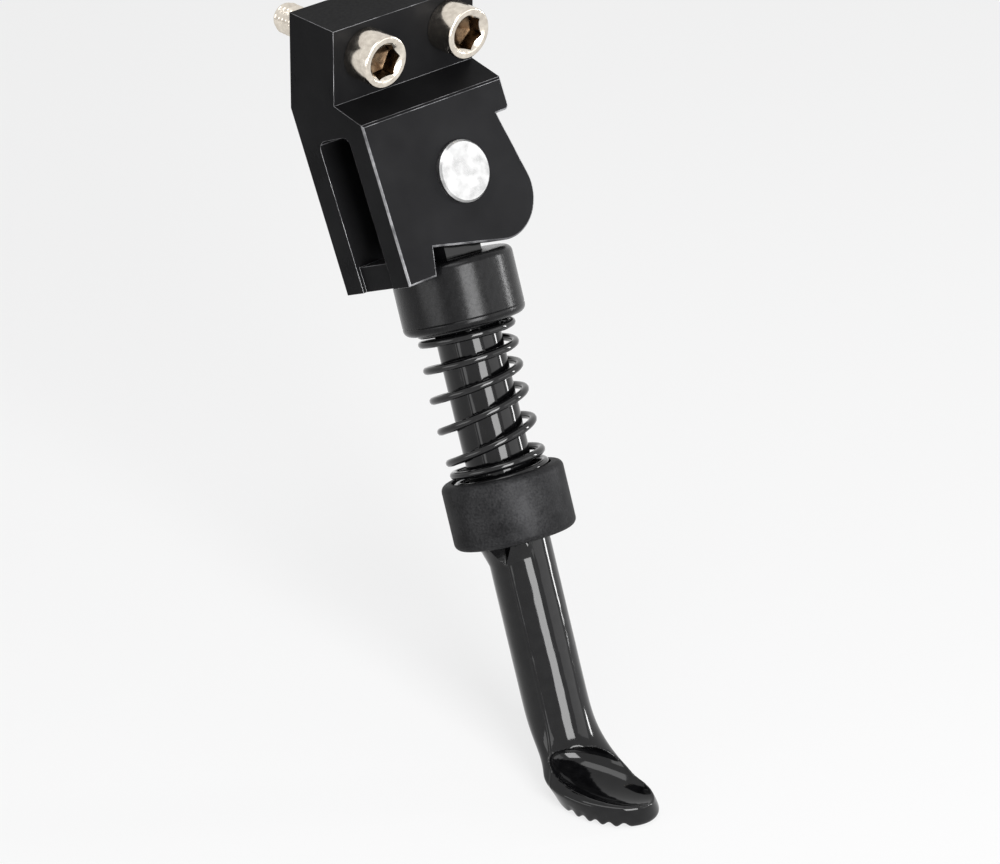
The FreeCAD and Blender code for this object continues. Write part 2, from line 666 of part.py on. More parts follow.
def outerRim(thick):
    # True for the circular edges on the outside of a turned piece
    radius = float(worked(thick)) / 2

    def chosen(edge):
        return hasattr(edge.Curve, "Radius") and near(edge.Curve.Radius, radius)

    return chosen


dressEdges(cup, "Fillet", "CupRims", "#cupRound", outerRim("#cupThick"))
dressEdges(collar, "Fillet", "CollarRims", "#collarRound", outerRim("#collarThick"))

# Spring between the seats of the cup and the collar
springFrame = "%s * placement(vector(0; 0; 0); %s)" % (legFrame, turned("#springAngle"))
spring = makeBody("return_spring", springFrame)
springFrom = "(#collarTop + #seatDeep - #endPlay - #wireThick / 2)"
springTo = "(%s - #seatDeep + #endPlay + #wireThick / 2)" % cupEnd
wireView = makeSketch(spring, "WireCircle", "XZ")
drawCircle(wireView, "(#springThick - #wireThick) / 2", "-" + springFrom, "#wireThick")
coil = spring.newObject("PartDesign::AdditiveHelix", "Coil")
coil.Profile = wireView
coil.ReferenceAxis = (wireView, ["V_Axis"])
coil.Mode = "height-turns-angle"
coil.setExpression("Height", bound("%s - %s" % (springFrom, springTo)))
coil.setExpression("Turns", bound("#springTurns"))
document.recompute()

# Every feature has to be sound before anything is written
for item in document.Objects:
    if "Invalid" in item.State or "Error" in item.State:
        raise RuntimeError("%s failed: %s" % (item.Name, item.State))
os.makedirs("parts", exist_ok=True)
for body in subParts:
    shape = body.Shape
    if shape.isNull() or not shape.isValid():
        raise RuntimeError(body.Label + " has no sound shape")
    shape.exportStep("parts/%s.step" % body.Label)
    print("%-14s volume %8.1f mm3, %d solid(s)" % (body.Label, shape.Volume, len(shape.Solids)))
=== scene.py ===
import bpy
import bmesh
import json
import math
from mathutils import Matrix, Vector


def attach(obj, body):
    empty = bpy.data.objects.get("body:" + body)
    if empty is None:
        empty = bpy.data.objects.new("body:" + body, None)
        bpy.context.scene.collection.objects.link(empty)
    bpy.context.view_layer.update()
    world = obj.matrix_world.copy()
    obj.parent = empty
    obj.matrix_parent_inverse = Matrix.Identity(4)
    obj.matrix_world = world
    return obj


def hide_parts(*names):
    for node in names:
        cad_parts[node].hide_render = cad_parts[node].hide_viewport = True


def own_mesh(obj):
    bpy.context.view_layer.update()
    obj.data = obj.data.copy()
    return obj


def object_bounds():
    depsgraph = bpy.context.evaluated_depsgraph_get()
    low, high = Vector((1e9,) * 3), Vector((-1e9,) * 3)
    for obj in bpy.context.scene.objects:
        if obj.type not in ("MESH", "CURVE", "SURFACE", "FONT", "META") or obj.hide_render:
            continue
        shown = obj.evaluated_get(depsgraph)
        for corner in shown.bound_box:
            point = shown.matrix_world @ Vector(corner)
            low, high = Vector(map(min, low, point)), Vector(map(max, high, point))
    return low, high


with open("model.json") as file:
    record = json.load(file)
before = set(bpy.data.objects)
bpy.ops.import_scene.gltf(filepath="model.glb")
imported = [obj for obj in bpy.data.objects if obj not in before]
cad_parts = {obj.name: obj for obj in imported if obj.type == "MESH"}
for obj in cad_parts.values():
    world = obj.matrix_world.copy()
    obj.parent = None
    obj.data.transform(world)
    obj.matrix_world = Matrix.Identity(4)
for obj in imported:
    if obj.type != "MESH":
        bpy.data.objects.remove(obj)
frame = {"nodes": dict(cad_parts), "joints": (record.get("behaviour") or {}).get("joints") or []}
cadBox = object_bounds()
nodes = frame["nodes"]
print("frame loaded:", ", ".join(sorted(nodes)))

mm = 0.001  # sizes are written in millimetres


# small tools
def hexToLinear(text):
    # sRGB hex to the linear colour a shader wants
    channels = [int(text[i:i + 2], 16) / 255 for i in (1, 3, 5)]
    linear = [c / 12.92 if c <= 0.04045 else ((c + 0.055) / 1.055) ** 2.4 for c in channels]
    return (*linear, 1.0)


def grains(size):
    # the scale of a noise whose grains are this many millimetres wide
    return 1 / (size * mm)


def addNode(owner, kind, settings=None, links=None, into=None):
    # settings go to the node's own fields or its inputs, links bring other nodes or their outputs in,
    # and into takes the result on to another node's inputs
    tree = owner.node_tree
    node = tree.nodes.new(kind)
    for name, value in (settings or {}).items():
        if isinstance(name, str) and name in node.bl_rna.properties:
            setattr(node, name, value)
        else:
            node.inputs[name].default_value = value
    for name, source in (links or {}).items():
        if not isinstance(source, bpy.types.NodeSocket):
            source = next(s for s in source.outputs if s.enabled)
        tree.links.new(source, node.inputs[name])
    for name, target in (into or {}).items():
        result = next(s for s in node.outputs if s.enabled)
        tree.links.new(result, target.inputs[name])
    return node


def newMaterial(name, settings):
    # a Principled shader with its plain numbers set, wired to the output
    material = bpy.data.materials.new(name)
    material.use_nodes = True
    material.node_tree.nodes.clear()
    shader = addNode(material, "ShaderNodeBsdfPrincipled", settings)
    addNode(material, "ShaderNodeOutputMaterial", links={"Surface": shader})
    return material, shader


def coat(obj, *materials):
    # gives a piece its finishes, in the order of its material numbers
    slots = obj.data.materials
    for index, material in enumerate(materials):
        if index < len(slots):
            slots[index] = material
        else:
            slots.append(material)


def linkPiece(name, mesh, smoothBelow=35):
    # puts a mesh in the scene; edges sharper than the angle stay crisp
    for polygon in mesh.polygons:
        polygon.use_smooth = True
    mesh.set_sharp_from_angle(angle=math.radians(smoothBelow))
    obj = bpy.data.objects.new(name, mesh)
    bpy.context.scene.collection.objects.link(obj)
    return obj


def makePiece(name, vertices, faces, smoothBelow=35):
    mesh = bpy.data.meshes.new(name)
    mesh.from_pydata([tuple(v) for v in vertices], [], faces)
    mesh.validate()
    mesh.update()
    return linkPiece(name, mesh, smoothBelow)


def ringPiece(name, rings, closed=False, smoothBelow=35):
    # skins a row of rings with the same number of points; open ends get a cap
    count = len(rings[0])
    vertices = [point for ring in rings for point in ring]
    faces = []
    spans = len(rings) if closed else len(rings) - 1
    for r in range(spans):
        low = r * count
        high = (r + 1) % len(rings) * count
        for k in range(count):
            n = (k + 1) % count
            faces.append((low + k, low + n, high + n, high + k))
    if not closed:
        faces.append(tuple(reversed(range(count))))
        faces.append(tuple(range(len(vertices) - count, len(vertices))))
    piece = makePiece(name, vertices, faces, smoothBelow)
    work = bmesh.new()
    work.from_mesh(piece.data)
    bmesh.ops.recalc_face_normals(work, faces=work.faces)
    work.to_mesh(piece.data)
    work.free()
    return piece


def twinOf(node):
    # a welded copy of a CAD node's shape to work on
    work = bmesh.new()
    work.from_mesh(nodes[node].data)
    bmesh.ops.transform(work, matrix=nodes[node].matrix_world, verts=work.verts)
    bmesh.ops.remove_doubles(work, verts=work.verts, dist=0.004 * mm)
    return work


def evenLight(piece):
    # broad faces set the shading, so flats and long cylinders keep clean reflections
    weighted = piece.modifiers.new("even light", "WEIGHTED_NORMAL")
    weighted.keep_sharp = True
    weighted.weight = 100


def finished(piece, body, node):
    # the piece stands for a CAD node and moves with its body
    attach(piece, body)
    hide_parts(node)


# the leg's own frame, read from the joints: up its bar, deep along the pivot pin
fold = next(j for j in frame["joints"] if j["name"] == "leg_fold")
slide = next(j for j in frame["joints"] if j["name"] == "cup_slide")
pivot = Vector(fold["pos_m"])
legUp = -Vector(slide["axis"]).normalized()
legDeep = -Vector(fold["axis"]).normalized()
legAcross = legDeep.cross(legUp).normalized()


def onLeg(across, deep, up):
    # a point given in the leg's frame, in millimetres from the pivot
    return pivot + (legAcross * across + legDeep * deep + legUp * up) * mm


# camera
cameraSetup = {
    "place": (-561.64, -653.60, 360.26),
    "look": (0.59709, 0.64038, -0.48310),
    "up": (0.31996, 0.36213, 0.87549),
    "lens": 136.69,
    "sensor": 36.0,
}


def placeCamera(setup):
    look = Vector(setup["look"]).normalized()
    right = look.cross(Vector(setup["up"])).normalized()
    up = right.cross(look)
    camera = bpy.data.objects.new("camera", bpy.data.cameras.new("camera"))
    turn = Matrix((right, up, -look)).transposed().to_4x4()
    camera.matrix_world = Matrix.Translation(Vector(setup["place"]) * mm) @ turn
    camera.data.lens = setup["lens"]
    camera.data.sensor_width = setup["sensor"]
    camera.data.clip_start = 0.01
    camera.data.clip_end = 20
    bpy.context.scene.collection.objects.link(camera)
    bpy.context.scene.camera = camera


placeCamera(cameraSetup)
print("camera placed")

# studio
studio = {
    "floorHalf": 2500,
    "floorBelow": 0.2,  # a hair under the foot
    "floorColour": "#e0e0e0",
    "floorGlow": 0.74,  # the rest of the ground's brightness is lamp light, so shadows show
    "airColour": "#e4e6e8",
    "airStrength": 0.24,
    # name, place, aimed at, width and height in mm, watts
    "lamps": [
        ("softbox", (-250, -955, 130), (0, -60, -110), 440, 1000, 18),
        ("slim_strip", (900, -520, -90), (0, -60, -110), 90, 700, 5),
        ("near_panel", (520, -880, 60), (0, -60, -110), 600, 900, 2),
        ("left_panel", (-990, 60, -150), (0, -60, -110), 700, 900, 5),
        ("high_panel", (-300, -150, 1000), (0, -40, -60), 800, 500, 4),
    ],
}


def lookedAt(owner):
    # 1 where the camera or a mirroring or clear surface looks at the ground, 0 where it only lights
    path = addNode(owner, "ShaderNodeLightPath")
    plain = {0: path.outputs["Is Camera Ray"], 1: path.outputs["Is Glossy Ray"]}
    either = addNode(owner, "ShaderNodeMath", {"operation": "MAXIMUM"}, plain)
    clear = {0: either, 1: path.outputs["Is Transmission Ray"]}
    return addNode(owner, "ShaderNodeMath", {"operation": "MAXIMUM"}, clear)


def makeFloor(setup):
    half = setup["floorHalf"] * mm
    height = cadBox[0].z - setup["floorBelow"] * mm
    corners = [(-half, -half), (half, -half), (half, half), (-half, half)]
    floor = makePiece("studio_floor", [(x, y, height) for x, y in corners], [(0, 1, 2, 3)])
    paper, shader = newMaterial("studio paper", {
        "Base Color": hexToLinear(setup["floorColour"]),
        "Roughness": 0.9,
    })
    # paper that shows white and still takes some shadow
    white = addNode(paper, "ShaderNodeEmission", {"Color": hexToLinear("#ffffff"), "Strength": 1.0})
    glow = {"operation": "MULTIPLY", 1: setup["floorGlow"]}
    share = addNode(paper, "ShaderNodeMath", glow, {0: lookedAt(paper)})
    output = paper.node_tree.get_output_node("ALL")
    addNode(paper, "ShaderNodeMixShader", None, {0: share, 1: shader, 2: white}, {"Surface": output})
    coat(floor, paper)


def makeAir(setup):
    # a weak even light from all round, which shows white where it is looked at
    world = bpy.data.worlds.new("studio air")
    world.use_nodes = True
    world.node_tree.nodes.clear()
    bpy.context.scene.world = world
    airLight = {"Color": hexToLinear(setup["airColour"]), "Strength": setup["airStrength"]}
    air = addNode(world, "ShaderNodeBackground", airLight)
    white = addNode(world, "ShaderNodeBackground", {"Color": hexToLinear("#ffffff"), "Strength": 1.0})
    mixed = addNode(world, "ShaderNodeMixShader", None, {0: lookedAt(world), 1: air, 2: white})
    addNode(world, "ShaderNodeOutputWorld", None, {"Surface": mixed})


def hangLamps(setup):
    for name, place, aim, wide, high, watts in setup["lamps"]:
        lamp = bpy.data.lights.new(name, "AREA")
        lamp.shape = "RECTANGLE"
        lamp.size = wide * mm
        lamp.size_y = high * mm
        lamp.energy = watts
        obj = bpy.data.objects.new(name, lamp)
        obj.location = Vector(place) * mm
        obj.rotation_mode = "QUATERNION"
        obj.rotation_quaternion = (Vector(aim) - Vector(place)).to_track_quat("-Z", "Y")
        bpy.context.scene.collection.objects.link(obj)


makeFloor(studio)
makeAir(studio)
hangLamps(studio)
bpy.context.scene.view_settings.view_transform = "Standard"
print("studio lit")

# what the finishes share; a colour Mix node has its two colours at inputs 6 and 7
spread = {"From Min": 0.3, "From Max": 0.7}  # most of a noise lies in this range

# bracket: the milled block, with every corner broken
milling = {
    "cornerBreak": 0.3,
    "sharpFrom": 22,  # degrees between two faces from which their edge is broken
    "chamferFacing": (0.64, 0.78),  # how far the cut chamfers face along the pin
}


def blackAnodised():
    # milled aluminium, dyed black: the dye lies in clear oxide over bright metal, so the sheen is half metal
    material, shader = newMaterial("black anodised aluminium", {
        "Metallic": 0.5,
        "Specular IOR Level": 0.12,
        "Specular Tint": hexToLinear("#2a2a2c"),
    })
    onPiece = {"Vector": addNode(material, "ShaderNodeTexCoord").outputs["Object"]}
    clouds = addNode(material, "ShaderNodeTexNoise", {"Scale": grains(14), "Detail": 2.0}, onPiece)
    cloudy = addNode(material, "ShaderNodeMapRange", spread, {"Value": clouds})
    dyes = {"data_type": "RGBA", 6: hexToLinear("#1b1b1c"), 7: hexToLinear("#222223")}
    addNode(material, "ShaderNodeMix", dyes, {0: cloudy}, {"Base Color": shader})
    # blasting marks of 0.1 mm, drawn coarser so that they show
    grit = addNode(material, "ShaderNodeTexNoise", {"Scale": grains(0.9), "Detail": 3.0}, onPiece)
    satin = {**spread, "To Min": 0.36, "To Max": 0.46}
    addNode(material, "ShaderNodeMapRange", satin, {"Value": grit}, {"Roughness": shader})
    marks = {"Distance": 0.02 * mm, "Strength": 0.35}
    addNode(material, "ShaderNodeBump", marks, {"Height": grit}, {"Normal": shader})
    return material


def wornAndHighlitEdge():
    # the milled corners, where the dye is thin and bare aluminium shines through in patches; their colour is
    # also a painted highlight, lighter than the block, where the chamfers catch the light
    material, shader = newMaterial("anodised edge, worn and with painted highlight", {"Metallic": 0.3, "Specular IOR Level": 0.4})
    onPiece = {"Vector": addNode(material, "ShaderNodeTexCoord").outputs["Object"]}
    wear = addNode(material, "ShaderNodeTexNoise", {"Scale": grains(5), "Detail": 4.0}, onPiece)
    worn = addNode(material, "ShaderNodeMapRange", {"From Min": 0.4, "From Max": 0.62}, {"Value": wear})
    baredAndHighlit = {"data_type": "RGBA", 6: hexToLinear("#4c4c4e"), 7: hexToLinear("#8e8e90")}
    addNode(material, "ShaderNodeMix", baredAndHighlit, {0: worn}, {"Base Color": shader})
    satin = {**spread, "To Min": 0.3, "To Max": 0.42}
    addNode(material, "ShaderNodeMapRange", satin, {"Value": wear}, {"Roughness": shader})
    return material


def makeBracket(sizes):
    work = twinOf("bracket")
    flat = math.radians(0.5)
    bmesh.ops.dissolve_limit(work, angle_limit=flat, verts=work.verts, edges=work.edges)
    # the chamfer faces and the broken corners take the edge finish: worn, and with a painted highlight
    low, high = sizes["chamferFacing"]
    for face in work.faces:
        if low < abs(face.normal.dot(legDeep)) < high:
            face.material_index = 1
    limit = math.radians(sizes["sharpFrom"])
    corners = [e for e in work.edges if e.is_manifold and e.calc_face_angle(0) > limit]
    bmesh.ops.bevel(work, geom=corners, offset=sizes["cornerBreak"] * mm, offset_type="OFFSET",
                    segments=2, profile=0.5, affect="EDGES", clamp_overlap=True, material=1)
    mesh = bpy.data.meshes.new("milled_bracket")
    work.to_mesh(mesh)
    work.free()
    return linkPiece("milled_bracket", mesh, 25)


bracket = makeBracket(milling)
evenLight(bracket)
coat(bracket, blackAnodised(), wornAndHighlitEdge())
finished(bracket, "bracket", "bracket")
print("bracket milled:", len(bracket.data.polygons), "faces")


# pivot pin
def peenedSteel():
    # the rivet's head, peened bright: soft dents and cloudy scuffs
    material, shader = newMaterial("peened steel", {"Metallic": 1.0})
    onPiece = {"Vector": addNode(material, "ShaderNodeTexCoord").outputs["Object"]}
    scuffs = addNode(material, "ShaderNodeTexNoise", {"Scale": grains(3.2), "Detail": 4.0}, onPiece)
    scuffed = addNode(material, "ShaderNodeMapRange", spread, {"Value": scuffs})
    steels = {"data_type": "RGBA", 6: hexToLinear("#9c9c9c"), 7: hexToLinear("#c2c2c2")}
    addNode(material, "ShaderNodeMix", steels, {0: scuffed}, {"Base Color": shader})
    bright = {**spread, "To Min": 0.22, "To Max": 0.4}
    addNode(material, "ShaderNodeMapRange", bright, {"Value": scuffs}, {"Roughness": shader})
    dents = addNode(material, "ShaderNodeTexNoise", {"Scale": grains(4.5), "Detail": 2.0}, onPiece)
    blows = {"Distance": 0.12 * mm, "Strength": 0.6}
    addNode(material, "ShaderNodeBump", blows, {"Height": dents}, {"Normal": shader})
    return material


coat(nodes["pivot_pin"], peenedSteel())
print("pin peened")

# screws: cold-headed, with a countersunk hexagon socket and rolled threads
screwSizes = {
    "spacing": 26.7, "underHead": -16.2, "headLong": 8.0, "headRadius": 6.5, "headRound": 0.45,
    "socketAcross": 8.0, "sinkRadius": 4.95, "socketDeep": 4.5, "drillPoint": 1.2, "shadeWithin": 4.7,
    "shankRadius": 3.6, "threadRadius": 3.98, "threadDeep": 0.62, "pitch": 1.25, "threadLong": 13.8,
    "runIn": 0.8, "runOut": 1.0, "ringsPerPitch": 8, "points": 72,
    # node, side of the block, and how far its socket is turned
    "sides": [("screw_left", -1, 5), ("screw_right", 1, 40)],
}


def nickelPlate():
    # cold-headed steel under bright nickel: warm white, with faint ripples of the plating
    material, shader = newMaterial("bright nickel plate", {"Metallic": 1.0})
    onPiece = {"Vector": addNode(material, "ShaderNodeTexCoord").outputs["Object"]}
    ripples = addNode(material, "ShaderNodeTexNoise", {"Scale": grains(1.5), "Detail": 2.0}, onPiece)
    rippled = addNode(material, "ShaderNodeMapRange", spread, {"Value": ripples})
    nickels = {"data_type": "RGBA", 6: hexToLinear("#c9c0b4"), 7: hexToLinear("#e2dacd")}
    addNode(material, "ShaderNodeMix", nickels, {0: rippled}, {"Base Color": shader})
    bright = {**spread, "To Min": 0.12, "To Max": 0.22}
    addNode(material, "ShaderNodeMapRange", bright, {"Value": ripples}, {"Roughness": shader})
    waves = {"Distance": 0.03 * mm, "Strength": 0.4}
    addNode(material, "ShaderNodeBump", waves, {"Height": ripples}, {"Normal": shader})
    return material


def nickelWithSocketShade():
    # inside the socket: painted shade of the recess, a dark warm brown in blotches
    material, shader = newMaterial("nickel plate with painted socket shade", {"Metallic": 1.0})
    onPiece = {"Vector": addNode(material, "ShaderNodeTexCoord").outputs["Object"]}
    shadeBlotches = addNode(material, "ShaderNodeTexNoise", {"Scale": grains(1.8), "Detail": 3.0}, onPiece)
    shadeBlotched = addNode(material, "ShaderNodeMapRange", spread, {"Value": shadeBlotches})
    shadedBrowns = {"data_type": "RGBA", 6: hexToLinear("#382d23"), 7: hexToLinear("#786550")}
    addNode(material, "ShaderNodeMix", shadedBrowns, {0: shadeBlotched}, {"Base Color": shader})
    bright = {**spread, "To Min": 0.2, "To Max": 0.34}
    addNode(material, "ShaderNodeMapRange", bright, {"Value": shadeBlotches}, {"Roughness": shader})
    return material


def makeScrew(node, side, socketTurn, sizes):
    # rings from the socket's floor over the head and along the shank to the free end
    centre = side * sizes["spacing"] / 2
    face = sizes["underHead"] - sizes["headLong"]
    floor = face + sizes["socketDeep"]

    def ring(radius, along):
        # radius and along may change round the ring
        points = []
        for k in range(sizes["points"]):
            angle = math.radians(360 * k / sizes["points"])
            r = radius(angle) if callable(radius) else radius
            y = along(angle) if callable(along) else along
            points.append(Vector((centre + r * math.cos(angle), y, r * math.sin(angle))) * mm)
        return points

    def hexagon(angle):
        part = (math.degrees(angle) - socketTurn) % 60 - 30
        return sizes["socketAcross"] / 2 / math.cos(math.radians(part))

    def sinkEdge(angle):
        # where the countersink's cone, 0.9 deep for 1 wide, meets the hexagon
        return face + (sizes["sinkRadius"] - hexagon(angle)) * 0.9

    def thread(along):
        # full depth between the thread's run-in and run-out
        left = sizes["threadLong"] - along
        full = max(0, min(1, along / sizes["runIn"], left / sizes["runOut"]))

        def radius(angle):
            phase = (along / sizes["pitch"] - angle / (2 * math.pi)) % 1
            groove = 1 - full + full * abs(2 * phase - 1)
            return sizes["threadRadius"] - sizes["threadDeep"] * groove

        return radius

    rings = [
        ring(0.3, floor + sizes["drillPoint"]),
        ring(lambda angle: hexagon(angle) * 0.985, floor),  # the punch leaves a small round in the corner
        ring(hexagon, floor - 0.1),
        ring(hexagon, sinkEdge),
        ring(sizes["sinkRadius"], face + 0.03),  # the countersink's lip is broken by a hair
        ring(sizes["sinkRadius"] + 0.08, face),
    ]
    top = sizes["headRadius"]
    corner = sizes["headRound"]
    for step in range(5):
        turn = math.pi / 2 * step / 4
        rings.append(ring(top - corner + corner * math.sin(turn), face + corner - corner * math.cos(turn)))
    rings += [
        ring(top, sizes["underHead"] - 0.15),  # and so is the head's underside
        ring(top - 0.15, sizes["underHead"]),
        ring(sizes["shankRadius"], sizes["underHead"]),
        ring(sizes["shankRadius"], 0.0),
    ]
    count = int(sizes["threadLong"] / sizes["pitch"] * sizes["ringsPerPitch"])
    for step in range(count + 1):
        along = sizes["threadLong"] * step / count
        rings.append(ring(thread(along), along))
    piece = ringPiece(node + "_headed", rings, smoothBelow=30)

    # the socket's walls and floor, inside the countersink, get the painted shade
    for polygon in piece.data.polygons:
        middle = polygon.center
        inward = math.hypot(middle.x - centre * mm, middle.z) < sizes["shadeWithin"] * mm
        wall = inward and abs(polygon.normal.y) < 0.3
        bottom = inward and middle.y > (floor - 0.2) * mm
        if middle.y < sizes["underHead"] * mm and (wall or bottom):
            polygon.material_index = 1
    return piece


plate = nickelPlate()
# the second finish is the painted shade inside the sockets
paintedSocketShade = nickelWithSocketShade()
for node, side, socketTurn in screwSizes["sides"]:
    screw = makeScrew(node, side, socketTurn, screwSizes)
    coat(screw, plate, paintedSocketShade)
    finished(screw, "bracket", node)
print("screws headed and threaded")

# leg: the CAD bar, with the foot forged on as the dies leave it
barSizes = {
    "radius": 8.2,
    "footFrom": -121,  # the bar's forged end starts this far down from the pivot
    "partingAngle": 206,  # where the forging's parting line runs, round the bar
    "partingWide": 1.1,
    "partingHigh": 0.12,
}
footSizes = {
    "ground": 139.0,  # from the pivot down to the ground
    "turn": 20,  # plan direction of the toe, from -Y towards +X
    # height, centre across and deep in the part's frame, half length, half width
    "levels": [
        (5.6, -12.2, -101.4, 14.5, 8.9),
        (3.0, -11.1, -102.5, 13.9, 9.3),
        (0.9, -10.3, -103.1, 13.5, 9.5),
        (0.0, -10.2, -103.1, 13.1, 9.3),
    ],
    "blankFrom": 34,  # the forged blank is drawn from this height down
    "swellFrom": 27.0,  # and starts to swell at this one
    "swellLate": 6.5,  # how late the swelling comes: 1 is even
    "blankRings": 24, "ringPoints": 96,
    "evenTo": 0.3, "forgeSoft": 11, "rimSoft": 9,  # size of the even facets, rounds of smoothing
    "scoopAt": (-11.0, -102.6, 8.3), "scoopLong": 14.8, "scoopWide": 8.3, "scoopHigh": 4.6, "scoopTilt": 5,
    "toothPitch": 3.4, "toothDeep": 1.1, "toothFrom": -5.1, "toothTo": 11.9, "toothHigh": 3.0,
    "meetOver": 3, "meetWithin": 0.6,  # the length and the gap over which the foot is fitted to the bar
}


def blackEnamel(name, shine, parting=None):
    # stoved black enamel: deep gloss over the slow waves of the steel under it
    material, shader = newMaterial(name, {
        "Roughness": 0.08,
        "IOR": 1.45,
        "Specular IOR Level": shine,
    })
    place = addNode(material, "ShaderNodeTexCoord").outputs["Object"]
    onPiece = {"Vector": place}
    specks = addNode(material, "ShaderNodeTexNoise", {"Scale": grains(2.2), "Detail": 2.0}, onPiece)
    speckled = addNode(material, "ShaderNodeMapRange", spread, {"Value": specks})
    blacks = {"data_type": "RGBA", 6: hexToLinear("#060607"), 7: hexToLinear("#0d0d0e")}
    addNode(material, "ShaderNodeMix", blacks, {0: speckled}, {"Base Color": shader})
    waves = addNode(material, "ShaderNodeTexNoise", {"Scale": grains(9), "Detail": 1.5}, onPiece)
    height = addNode(material, "ShaderNodeMapRange", spread, {"Value": waves})
    waveHigh = 0.1  # mm
    if parting:
        # the forging's parting line runs down the bar on two opposite sides
        angle = math.radians(parting["partingAngle"])
        across = legDeep * math.cos(angle) - legAcross * math.sin(angle)
        moved = addNode(material, "ShaderNodeVectorMath", {"operation": "SUBTRACT", 1: pivot}, {0: place})
        aside = addNode(material, "ShaderNodeVectorMath", {"operation": "DOT_PRODUCT", 1: across}, {0: moved})
        apart = addNode(material, "ShaderNodeMath", {"operation": "ABSOLUTE"}, {0: aside})
        line = addNode(material, "ShaderNodeMapRange", {
            "interpolation_type": "SMOOTHSTEP",
            "From Min": 0.0,
            "From Max": parting["partingWide"] / 2 * mm,
            "To Min": parting["partingHigh"] / waveHigh,
            "To Max": 0.0,
        }, {"Value": apart})
        height = addNode(material, "ShaderNodeMath", {"operation": "ADD"}, {0: height, 1: line})
    relief = {"Distance": waveHigh * mm, "Strength": 0.8}
    addNode(material, "ShaderNodeBump", relief, {"Height": height}, {"Normal": shader})
    return material


def cutAcross(work, up, keepAbove):
    # cuts across the leg at this height and throws one side away
    everything = work.verts[:] + work.edges[:] + work.faces[:]
    bmesh.ops.bisect_plane(work, geom=everything, plane_co=onLeg(0, 0, up), plane_no=legUp,
                           clear_inner=keepAbove, clear_outer=not keepAbove)


def makeBar(bar):
    work = twinOf("stand_leg")
    cutAcross(work, bar["footFrom"], keepAbove=True)
    mesh = bpy.data.meshes.new("forged_bar")
    work.to_mesh(mesh)
    work.free()
    return linkPiece("forged_bar", mesh, 20)


def footRings(bar, sizes, floor, turn):
    # level ovals from the bar down to the sole
    lean = math.atan2(-legUp.x, legUp.y)

    def oval(across, deep, long, wide, turned, height):
        ring = []
        for k in range(sizes["ringPoints"]):
            # each level starts at the same angle, so the skin doesn't twist
            angle = 2 * math.pi * k / sizes["ringPoints"]
            size = 1 / math.hypot(math.cos(angle + turned) / long, math.sin(angle + turned) / wide)
            x = across + size * math.sin(angle)
            y = deep + size * math.cos(angle)
            ring.append(Vector((x, y, floor + height)) * mm)
        return ring

    rings = []
    low, footAcross, footDeep, footLong, footWide = sizes["levels"][0]
    barLong = bar["radius"] / legUp.z
    for step in range(sizes["blankRings"] + 1):
        height = sizes["blankFrom"] - (sizes["blankFrom"] - low) * step / sizes["blankRings"]
        swell = min(1, max(0, (sizes["swellFrom"] - height) / (sizes["swellFrom"] - low)))
        swell = swell ** sizes["swellLate"]
        girth = swell ** 0.5  # the girth grows before the foot turns forward
        axis = pivot / mm - legUp * ((sizes["ground"] - height) / legUp.z)
        rings.append(oval(
            axis.x + (footAcross - axis.x) * swell,
            axis.y + (footDeep - axis.y) * swell,
            barLong + (footLong - barLong) * swell,
            bar["radius"] + (footWide - bar["radius"]) * girth,
            lean + (turn - lean) * swell,
            height,
        ))
    for height, across, deep, long, wide in sizes["levels"][1:]:
        rings.append(oval(across, deep, long, wide, turn, height))
    return rings


def scoopTool(sizes, floor, turn):
    # an egg laid along the toe, its heel end raised
    egg = bmesh.new()
    bmesh.ops.create_icosphere(egg, subdivisions=5, radius=1)
    grow = Matrix.Diagonal((sizes["scoopWide"] * mm, sizes["scoopLong"] * mm, sizes["scoopHigh"] * mm, 1))
    tilt = Matrix.Rotation(math.radians(sizes["scoopTilt"]), 4, "X")
    spin = Matrix.Rotation(turn, 4, "Z")
    across, deep, up = sizes["scoopAt"]
    shift = Matrix.Translation(Vector((across, deep, floor + up)) * mm)
    bmesh.ops.transform(egg, matrix=shift @ spin @ tilt @ grow, verts=egg.verts)
    mesh = bpy.data.meshes.new("scoop_tool")
    egg.to_mesh(mesh)
    egg.free()
    return linkPiece("scoop_tool", mesh)


def evenAndSoften(blank, name, facet, rounds):
    even = blank.modifiers.new(name + "_even", "REMESH")
    even.mode = "VOXEL"
    even.voxel_size = facet * mm
    soft = blank.modifiers.new(name + "_soft", "SMOOTH")
    soft.factor = 0.5
    soft.iterations = rounds


def pressTeeth(mesh, sizes, floor, turn):
    # teeth across the sole, pressed into its lowest few millimetres
    ahead = Vector((math.sin(turn), -math.cos(turn), 0))
    middle = Vector((sizes["levels"][0][1], sizes["levels"][0][2], 0))
    for vertex in mesh.vertices:
        point = vertex.co / mm
        height = point.z - floor
        along = (point - middle).dot(ahead)
        if height < sizes["toothHigh"] and sizes["toothFrom"] < along < sizes["toothTo"]:
            wave = 0.5 + 0.5 * math.cos(2 * math.pi * along / sizes["toothPitch"])
            fade = 1 - max(0, height) / sizes["toothHigh"]
            vertex.co.z += sizes["toothDeep"] * wave * fade * mm


def fitToBar(work, bar, sizes):
    # the evened foot meets the round bar exactly
    fitFrom = bar["footFrom"] - sizes["meetOver"]
    for vertex in work.verts:
        offset = vertex.co - pivot
        along = legUp * offset.dot(legUp)
        outward = offset - along
        up = offset.dot(legUp) / mm
        away = outward.length / mm
        if up > fitFrom and abs(away - bar["radius"]) < sizes["meetWithin"]:
            share = min(1, (up - fitFrom) / (sizes["meetOver"] - 1))
            target = away + (bar["radius"] - away) * share
            vertex.co = pivot + along + outward * (target / away)


